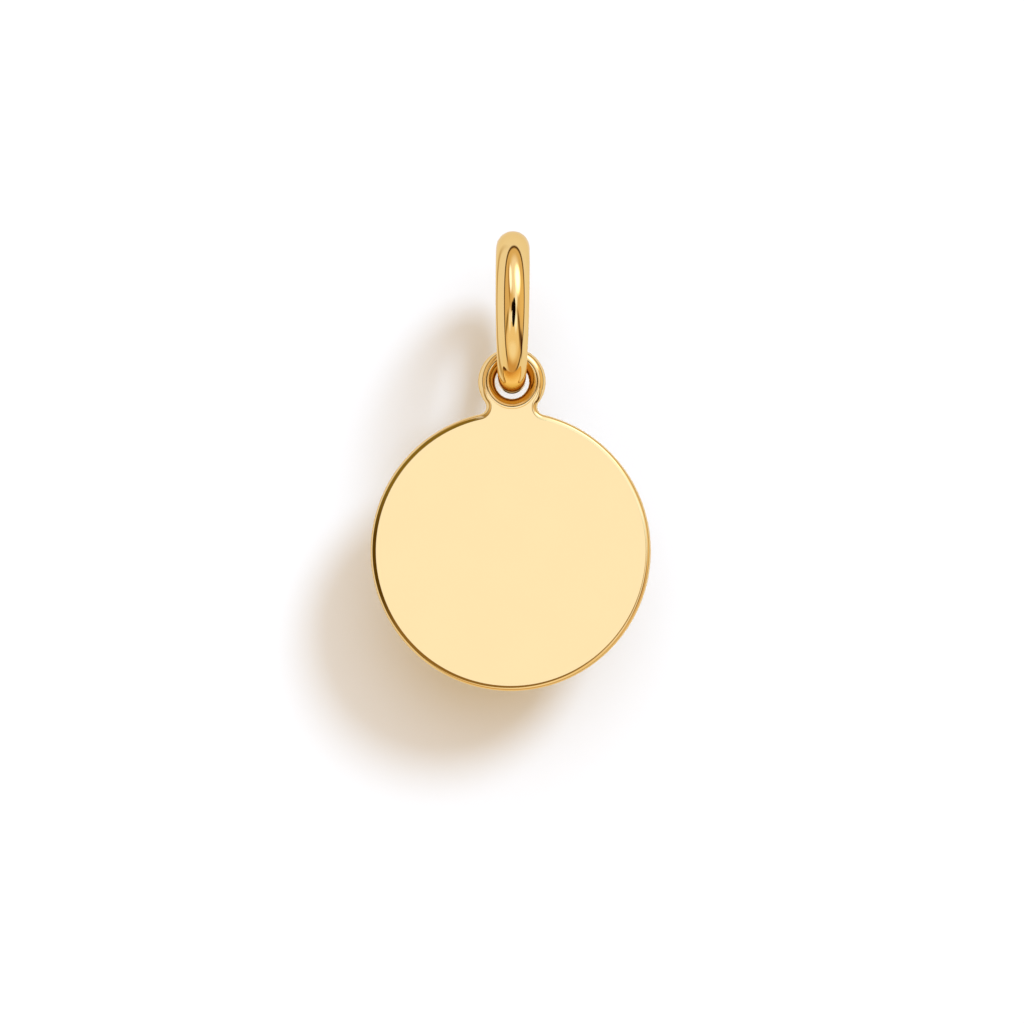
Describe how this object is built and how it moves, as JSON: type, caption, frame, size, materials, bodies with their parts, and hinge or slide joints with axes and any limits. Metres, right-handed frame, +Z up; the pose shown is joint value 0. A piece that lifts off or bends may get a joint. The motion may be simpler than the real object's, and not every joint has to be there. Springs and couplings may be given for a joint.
{
  "type": "hoop charm with a round disc",
  "caption": "Round polished gold disc charm with an eyelet, hanging free on a round wire bail ring made to slide on a hoop or chain.",
  "frame": {"origin": "the inner top of the bail ring, where a hoop, chain or cord bears and the charm hangs", "axes": "+Z up, along the line from the disc to the ring; the disc's face looks along -Y and its back along +Y; +X runs through the ring's opening, the way a hoop or chain passes"},
  "size_m": [0.01, 0.0058, 0.0164],
  "materials": {
    "disc_gold": "mirror-polished yellow gold, flat face",
    "ring_gold": "mirror-polished yellow gold, round wire"
  },
  "bodies": {
    "ring": {"bail_ring": "ring_gold"},
    "charm": {"charm_disc": "disc_gold"}
  },
  "joints": [
    {"name": "charm_swing", "type": "hinge", "parent": "ring", "child": "charm", "pos_m": [0, 0, -0.00417], "axis": [0, 1, 0], "range_deg": [-115, 115]}
  ]
}
